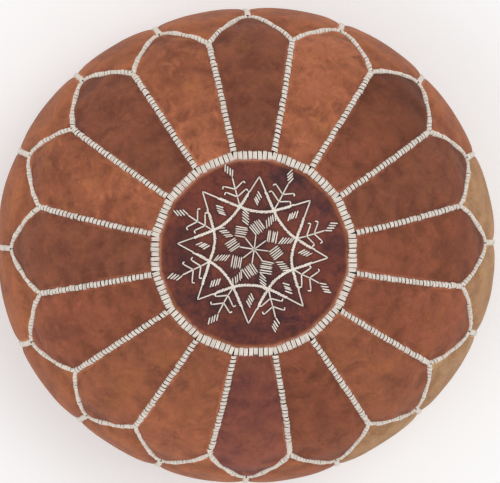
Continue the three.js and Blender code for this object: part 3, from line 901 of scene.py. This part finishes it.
def bars(surface, seam, width, pitch, fill=0.80, slant=0.0):
    """Bars of thread sewn over a seam: each is three strands side by side that span the groove."""
    point, forward, out = seam
    count = len(point)
    made = []
    spacing, radius = 0.32 * fill * pitch, 0.18 * fill * pitch
    lean = slant + rng.normal(0, 0.035, count)
    across = unit(np.cross(out, forward) + lean[:, None] * forward)
    half = width / 2 * (1 + rng.normal(0, 0.05, count))
    shift = across * rng.normal(0, 0.0002, count)[:, None]
    shift = shift + forward * rng.normal(0, 0.0001, count)[:, None]
    tone = rng.uniform(0, 1, count)
    t = np.linspace(-1, 1, 9)
    for strand in (-1, 0, 1):
        offset = strand * spacing + rng.normal(0, 0.00008, count)
        middle = point + shift + forward * offset[:, None]
        reach = half * (1 + rng.normal(0, 0.04, count))
        ends = [middle + across * (side * reach)[:, None] for side in (-1, 1)]
        low, high = (height_over(surface, end, out) for end in ends)
        rise = low[:, None] + (high - low)[:, None] * (t + 1) / 2
        crown = BAR_ARCH * (1 + rng.normal(0, 0.10, count))
        rise = rise - BAR_END_SINK + (BAR_END_SINK + crown[:, None]) * (1 - np.abs(t) ** 3.2)
        path = middle[:, None] + across[:, None] * (reach[:, None] * t)[..., None]
        path = path + out[:, None] * rise[..., None]
        tints = np.clip(0.5 * tone + rng.uniform(0, 0.5, count), 0, 1)
        made.append((path, np.broadcast_to(out[:, None], path.shape), np.full(count, radius), tints))
    return joined(made)


def joined(groups):
    return [np.concatenate(column) for column in zip(*groups)]


def sew(name, groups, node):
    piece = threads(name, *joined(groups))
    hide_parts(node)


def seam_round(s):
    return lambda t: (2 * math.pi * t, np.full_like(t, s))


def seam_down(angle, from_s, to_s):
    return lambda t: (np.full_like(t, angle), from_s + (to_s - from_s) * t)


def half_scallop(middle, side):
    """The seam from the valley at one side of a petal to its tip."""
    return lambda t: (middle + side * (1 - t) * HALF_PITCH, scallop_s(side * (1 - t)))


def seam_stitches(surface):
    ring_pitch = 2 * math.pi * MEDALLION_S / (RING_BARS_A_PETAL * PANELS)
    pitches = rng.uniform(0.0039, 0.0047, PANELS)
    ring = along_seam(seam_round(MEDALLION_S), ring_pitch)
    top = [bars(surface, ring, RING_BAR_WIDTH, ring_pitch, 0.85)]
    slants = rng.uniform(-0.28, 0.28, PANELS)
    for i in range(PANELS):
        radial = seam_down(petal_angle(i) - HALF_PITCH, MEDALLION_S, VALLEY_S)
        seam = along_seam(radial, pitches[i], 0.0042, -0.0010)
        top.append(bars(surface, seam, BAR_WIDTH, pitches[i], slant=slants[i]))
    sew("top_seam_thread", top, "top_seam_stitching")

    scallops, sides = [], []
    for i in range(PANELS):
        middle = petal_angle(i)
        for side in (-1, 1):
            seam = along_seam(half_scallop(middle, side), SCALLOP_PITCH, 0.0012, 0.0002)
            scallops.append(bars(surface, seam, SCALLOP_BAR_WIDTH, SCALLOP_PITCH, 0.88, side * 0.42))
        seam = along_seam(seam_down(middle, TIP_S, BASE_SEAM_S), SIDE_PITCH, 0.0012, 0.0045)
        sides.append(bars(surface, seam, BAR_WIDTH, SIDE_PITCH, slant=rng.uniform(-0.2, 0.2)))
    sew("scallop_thread", scallops, "side_seam_stitching")
    sew("side_seam_thread", sides, "side_seam_stitching")


def base_seam_thread(surface):
    seam = along_seam(seam_round(BASE_SEAM_S), BASE_PITCH)
    sew("base_seam_thread", [bars(surface, seam, 0.0060, BASE_PITCH)], "base_seam_stitching")


# ---- Embroidery ----

STAR_POINTS = 8
STAR_PITCH = 2 * math.pi / STAR_POINTS
TIP_ANGLE = math.radians(85.5)
KNOT_ANGLE = math.radians(107.5)
ROSETTE_ANGLE = math.radians(80.5)
STAR_TIP_R = 0.0752
STAR_KNOT_R = 0.0438
STAR_BOW = 0.0026  # how far an arm's line bows in between two knots
STEM_STEP = 0.0027  # from one overlapping stitch to the next
STEM_ASIDE = 0.0011  # how far such a stitch starts and ends beside the line
BRANCH_JOINTS = (0.0, 0.0098, 0.0183, 0.0300)  # the stem's start, its two forks and its end
STAR_THREAD = 0.00074  # radius
ROSETTE_THREAD = 0.00064
EMBROIDERY_AT = np.array([-0.0005, 0.0010])
# The embroiderer's own unevenness, for each of the eight arms anticlockwise: turns in degrees, shifts in mm
TIP_TURNS = (0, 1, 0, 1, 0, 0, -2.5, 0)
TIP_SHIFTS = (-3, 1.5, 1, 0, -1, 0, -1, -1)
KNOT_TURNS = (1, 2, -2.5, -2, 2, -0.5, -4, 0)
KNOT_SHIFTS = (0.5, 0.5, 1.8, -1, -2.2, -0.5, -0.5, -1)
BRANCH_TURNS = (-3.5, -2.5, 9, -2, -4, 0, -2, -1.5)
BRANCH_LEANS = (1, 1, -1, -1, -1, -1, 1, 1)


def polar(radius, angle):
    return np.array([radius * math.cos(angle), radius * math.sin(angle)])


def wobble(size):
    return rng.normal(0, size, 2)


def satin(centre, angle, turn, step_turn, count, length, pitch):
    """A block of parallel stitches: strokes turned from a direction, stacked along another."""
    stroke, step = polar(1, angle + turn), polar(1, angle + step_turn)
    made = []
    for k in range(count):
        middle = centre + step * (k - (count - 1) / 2) * pitch + wobble(0.00015)
        half = stroke * length / 2 * (1 + rng.normal(0, 0.05))
        made.append((middle - half + wobble(0.0002), middle + half + wobble(0.0002)))
    return made


def curve_through(points):
    """Smooth curve through points, as a Catmull-Rom spline."""
    count = 120
    p = np.array(points)
    p = np.concatenate([[2 * p[0] - p[1]], p, [2 * p[-1] - p[-2]]])
    t = np.linspace(0, 1, count // (len(p) - 3), endpoint=False)[:, None]
    parts = []
    for a, b, c, d in zip(p, p[1:], p[2:], p[3:]):
        square = (2 * a - 5 * b + 4 * c - d) * t**2
        cube = (3 * b - a - 3 * c + d) * t**3
        parts.append(0.5 * (2 * b + (c - a) * t + square + cube))
    return np.concatenate([*parts, p[-2:-1]])


def star_line(points):
    """One of the star's lines: a single stitch at each tip, and overlapping stem stitches between."""
    curve = curve_through(points)
    length = lengths_along(curve)

    def at(x):
        return np.array([np.interp(x, length, curve[:, k]) for k in (0, 1)])

    first, last = rng.uniform(0.0165, 0.0205, 2)
    last = length[-1] - last
    made = [(at(0), at(first + 0.001)), (at(last - 0.001), at(length[-1]))]
    place = first - 0.001
    while place < last:
        end = min(place + rng.uniform(0.0060, 0.0076), last + 0.001)
        ahead = at(end) - at(place)
        aside = np.array([-ahead[1], ahead[0]]) / np.linalg.norm(ahead) * STEM_ASIDE
        made.append((at(place) - aside + wobble(0.0001), at(end) + aside + wobble(0.0001)))
        place += STEM_STEP
    return made


def twig(fork, direction, side):
    reach = fork + polar(rng.uniform(0.0103, 0.0122), direction + side * math.radians(rng.uniform(53, 63)))
    bend = reach + polar(0.0014, direction + side * math.radians(95))
    back = bend + polar(rng.uniform(0.0016, 0.0024), direction + side * math.radians(rng.uniform(150, 172)))
    return [(fork, reach), (reach, bend), (bend, back)]


def branch(knot, heading, lean):
    """A stem with two pairs of hooked twigs, ending in a slanted bunch of stitches."""
    joints = [knot + polar(r, heading) + wobble(0.0003) for r in BRANCH_JOINTS]
    made = list(zip(joints[:-1], joints[1:]))
    for fork in joints[1:3]:
        for side in (-1, 1):
            made += twig(fork, heading, side)
    tilt = heading - lean * math.radians(17)
    for k in range(4):
        start = joints[-1] + polar(0.0024 * k, heading) + polar(0.0018 * k * lean, heading + math.pi / 2)
        made.append((start + wobble(0.0002), start + polar(0.0078, tilt) + wobble(0.0002)))
    return made


def round_star(radius, first, turns, shifts):
    """Eight places round the star, each with its own turn and shift."""
    return [
        polar(radius + shift / 1000, first + k * STAR_PITCH + math.radians(turn))
        for k, (turn, shift) in enumerate(zip(turns, shifts))
    ]


def star_design():
    tips = round_star(STAR_TIP_R, TIP_ANGLE, TIP_TURNS, TIP_SHIFTS)
    knots = round_star(STAR_KNOT_R, KNOT_ANGLE, KNOT_TURNS, KNOT_SHIFTS)
    made = []
    for k in range(STAR_POINTS):
        knot, next_knot = knots[k], knots[(k + 1) % STAR_POINTS]
        middle = (knot + next_knot) / 2
        bowed = middle * (1 - STAR_BOW / np.linalg.norm(middle))
        made += star_line([tips[k], knot, bowed, next_knot, tips[(k + 2) % STAR_POINTS]])
        tip_angle = TIP_ANGLE + k * STAR_PITCH
        made += satin(polar(0.0508, tip_angle), tip_angle, 0.52, math.pi - 0.42, 4, 0.0078, 0.0027)
        heading = KNOT_ANGLE + k * STAR_PITCH + math.radians(BRANCH_TURNS[k])
        made += branch(knot, heading, BRANCH_LEANS[k])
    return made


def rosette_design():
    """Spokes from the middle, a slanted satin block past each, and another inside each knot."""
    made = []
    for k in range(STAR_POINTS):
        angle = ROSETTE_ANGLE + k * STAR_PITCH + rng.normal(0, 0.03)
        made.append((polar(0.0006, angle), polar(0.0148, angle + 0.03)))
        count = rng.integers(5, 7)
        made += satin(polar(0.0217, angle), angle, math.pi / 4, -math.pi / 4, count, 0.0122, 0.0022)
        knot_angle = KNOT_ANGLE + k * STAR_PITCH - 0.05
        made += satin(polar(0.0332, knot_angle), knot_angle, 0.60, math.pi - 0.28, 5, 0.0086, 0.0028)
    return made


def embroider(name, design, surface, node, radius):
    """Lays straight stitches on the medallion, their ends drawn into the leather."""
    ends = np.array(design) + EMBROIDERY_AT
    t = np.linspace(0, 1, 9)
    plan = ends[:, :1] + (ends[:, 1:] - ends[:, :1]) * t[:, None]
    flat = np.concatenate([plan, np.full(plan.shape[:2] + (1,), HEIGHT)], -1)
    paths, out = laid_on(surface, flat, (0, 0, 1), 0.03, -0.0005 + 0.0010 * (1 - np.abs(2 * t - 1) ** 8))
    thickness = radius * (1 + rng.normal(0, 0.05, len(paths)))
    piece = threads(name, paths, out, thickness, rng.uniform(0, 1, len(paths)))
    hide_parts(node)
    return paths.reshape(-1, 3)


def dent(piece, laid):
    """Draws the leather down along the threads laid on it, and marks how close they are, for a painted
    shadow round them.
    """
    tree = KDTree(len(laid))
    for i, point in enumerate(laid):
        tree.insert(point, i)
    tree.balance()
    points, _ = mesh_arrays(piece)
    near = np.array([tree.find(point)[2] for point in points])
    points[:, 2] -= 0.0005 * np.exp(-(near / 0.0016) ** 2)
    move_points(piece, points)
    set_attributes(piece, thread_near=np.exp(-(near / 0.0017) ** 2))


cover_surface = surface_of([*panels, medallion])
seam_stitches(cover_surface)
laid_threads = [
    embroider(f"{name}_thread", design(), cover_surface, f"{name}_embroidery", radius)
    for name, design, radius in (
        ("star", star_design, STAR_THREAD),
        ("rosette", rosette_design, ROSETTE_THREAD),
    )
]
dent(medallion, np.concatenate(laid_threads))


# ---- The base and its zip ----

def base_height(x, y):
    """The base's outer face: flat, with a raised rim and a shallow trough for the zip."""
    radius = np.hypot(x, y)
    rim = np.clip((radius - BASE_FLAT_RADIUS) / (BASE_RIM_RADIUS - BASE_FLAT_RADIUS), 0, 1)
    trough = TROUGH_DEPTH * (1 - smooth(np.abs(y), SLOT_HALF_WIDTH, TROUGH_HALF_WIDTH))
    return trough + (BASE_RIM_RISE - trough) * rim**2


def base_half(place, side):
    """Half of the base, with its edge folded in along the zip and gathers at the rim."""
    columns, rows = 90, 56
    half_chord = math.sqrt(BASE_RIM_RADIUS**2 - SLOT_HALF_WIDTH**2) - 0.0004
    x = -half_chord * np.cos(math.pi * np.arange(columns + 1) / columns)
    v = (np.arange(rows + 1) / rows) ** 1.25
    x, v = np.meshgrid(x, v, indexing="ij")
    rim_y = np.sqrt(BASE_RIM_RADIUS**2 - x**2)
    y = SLOT_HALF_WIDTH + (rim_y - SLOT_HALF_WIDTH) * v
    place_2d = np.stack([x, side * y, 0 * x], -1)
    radius = np.hypot(x, y)
    to_rim, to_slot = BASE_RIM_RADIUS - radius, y - SLOT_HALF_WIDTH
    near_rim = np.exp(-to_rim / 0.02)
    gathers = line_noise(np.arctan2(side * y, x) * BASE_RIM_RADIUS, 0.011, 71) * near_rim
    dents = fbm(place_2d, 0.06, 3, 74)
    z = base_height(x, y) + 0.0010 * (1 + gathers) * near_rim + 0.0005 * (1 + dents)
    z += 0.0012 * np.exp(-(to_slot / 0.0012) ** 2)
    points = slumped(np.stack([x, side * y, z], -1))
    faces = grid_faces(*x.shape)
    piece = make_object(f"base_leather_{place}", points.reshape(-1, 3), faces[:, ::-side], LEATHERS["base"])
    crease = np.clip(dents * 0.5 - gathers * near_rim, -1, 1)
    set_attributes(piece, seam=np.minimum(to_rim, to_slot), crease=crease, hide=place_2d + 5 * side)
    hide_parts(f"base_half_{place}")
    thicken(piece)
    return piece


def running_stitch(surface, points, length, gap):
    """Running stitches along a line on the underside."""
    run = lengths_along(points)
    starts = np.arange(gap, run[-1] - length, length + gap)
    t = np.linspace(0, 1, 9)
    where = starts[:, None] + length * t
    path = np.stack([np.interp(where, run, points[:, k]) for k in range(3)], -1)
    return laid_on(surface, path, (0, 0, -1), 0.012, -0.0004 + 0.0007 * (1 - np.abs(2 * t - 1) ** 6))


def zip_topstitching(surface):
    """Two rows of small stitches on each side of the zip."""
    rows = []
    half_length, thread_radius = 0.192, 0.00042
    for side in (-1, 1):
        for offset in (0.0028, 0.0060):
            x = np.linspace(-half_length, half_length, 200)
            y = np.full_like(x, side * (SLOT_HALF_WIDTH + offset))
            line = np.stack([x, y, base_height(x, y)], -1)
            rows.append(running_stitch(surface, line, 0.0036, 0.0011))
    paths, outs = joined(rows)
    threads("zip_topstitching", paths, outs, thread_radius, rng.uniform(0, 1, len(paths)))


def copy_of(node, name, material):
    piece = add_object(name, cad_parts[node].data.copy())
    piece.data.materials.clear()
    piece.data.materials.append(material)
    return piece


def bevelled_copy(name, node, width, body, segments=2):
    """The CAD piece again, with its edges rounded over as cast metal has them."""
    piece = copy_of(node, name, BRASS)
    add_modifier(piece, "WELD", merge_threshold=1e-6)
    add_modifier(piece, "DECIMATE", decimate_type="DISSOLVE", angle_limit=math.radians(1))
    add_modifier(piece, "BEVEL", width=width, segments=segments, angle_limit=math.radians(30))
    apply_modifiers(piece)
    piece.data.shade_smooth()
    piece.data.set_sharp_from_angle(angle=math.radians(35))
    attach(piece, body)
    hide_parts(node)


def zip_teeth(place, side):
    """One side's row of teeth on its cord, in the space of the plain CAD chain."""
    low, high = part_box(f"zip_chain_{place}")
    pitch, thickness = 0.0026, 0.0017
    narrowing = 0.72  # a tooth's inner end against its outer one
    tooth = bmesh.new()
    bmesh.ops.create_cube(tooth, size=1)
    inner, outer = sorted((abs(low.y), abs(high.y)))
    for vertex in tooth.verts:
        narrow = narrowing if vertex.co.y < 0 else 1.0
        vertex.co.x *= thickness * narrow
        vertex.co.z *= (high.z - low.z) * narrow
        vertex.co.y = side * (inner + (vertex.co.y + 0.5) * (outer - inner))
        vertex.co.z += (low.z + high.z) / 2
    if side < 0:
        bmesh.ops.reverse_faces(tooth, faces=tooth.faces)
    bmesh.ops.bevel(tooth, geom=tooth.edges[:], offset=0.0003, segments=2, affect="EDGES", profile=0.6)
    one = np.array([vertex.co for vertex in tooth.verts])
    faces = [[vertex.index for vertex in face.verts] for face in tooth.faces]
    tooth.free()
    start = low.x + thickness / 2 + (0.5 * pitch if side > 0 else 0)
    places = np.arange(start, high.x - thickness / 2, pitch)
    points = (one[None] + places[:, None, None] * np.array([1, 0, 0])).reshape(-1, 3)
    every = [[v + k * len(one) for v in face] for k in range(len(places)) for face in faces]
    mesh = bpy.data.meshes.new(f"zip_teeth_{place}")
    mesh.from_pydata(points.tolist(), [], every)
    mesh.shade_smooth()
    mesh.set_sharp_from_angle(angle=math.radians(50))
    mesh.materials.append(BRASS)
    piece = add_object(mesh.name, mesh)
    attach(piece, "cover")
    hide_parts(f"zip_chain_{place}")


def zip_tape(place, side):
    """Woven tape beside the teeth, a little lower along its inner edge."""
    low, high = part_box(f"zip_tape_{place}")
    inner, outer = sorted((abs(low.y), abs(high.y)))
    x = np.linspace(low.x, high.x, 260)
    across = np.linspace(0, 1, 22)
    x, across = np.meshgrid(x, across, indexing="ij")
    y = inner + across * (outer - inner)
    shelf = base_height(0 * x, np.maximum(y, SLOT_HALF_WIDTH)) - TROUGH_DEPTH
    ripple = 0.0003 * fbm(np.stack([x, y, 0 * x], -1), 0.012, 2, 83)
    z = high.z - 0.0002 + shelf + ripple - 0.0001 * np.exp(-((y - inner) / 0.0008) ** 2)
    points = np.stack([x, side * y, z], -1)
    faces = grid_faces(*x.shape)[:, ::side]
    piece = make_object(f"zip_tape_cloth_{place}", points.reshape(-1, 3), faces, TAPE)
    add_modifier(piece, "SOLIDIFY", thickness=0.0006, offset=1)
    apply_modifiers(piece)
    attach(piece, "cover")
    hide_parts(f"zip_tape_{place}")


def wadding():
    """The cotton stuffing, as lumpy as it is when it is packed in by hand."""
    low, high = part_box("stuffing")
    piece = copy_of("stuffing", "cotton_wadding", wadding_material("cotton wadding"))
    add_modifier(piece, "REMESH", mode="VOXEL", voxel_size=0.007)
    apply_modifiers(piece)
    piece.data.shade_smooth()
    points, _ = mesh_arrays(piece)
    middle = np.array([0, 0, (low.z + high.z) / 2])
    lumps = fbm(points, 0.05, 3, 91)
    points -= unit(points - middle) * (0.0025 + 0.0022 * (1 + lumps))[:, None]
    move_points(piece, points)
    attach(piece, "cover")
    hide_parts("stuffing")


base_leathers = [base_half(place, side) for place, side in (("front", -1), ("back", 1))]
base_surface = surface_of([*base_leathers, *panels[1::2]])
base_seam_thread(base_surface)
zip_topstitching(base_surface)
for place, side in (("front", -1), ("back", 1)):
    zip_tape(place, side)
    zip_teeth(place, side)
    bevelled_copy(f"zip_top_stop_metal_{place}", f"zip_top_stop_{place}", 0.0004, "cover")
bevelled_copy("zip_bottom_stop_metal", "zip_bottom_stop", 0.0004, "cover")
bevelled_copy("zip_slider_metal", "zip_slider", 0.00035, "slider")
bevelled_copy("zip_pull_metal", "zip_pull", 0.0004, "pull", 3)
wadding()
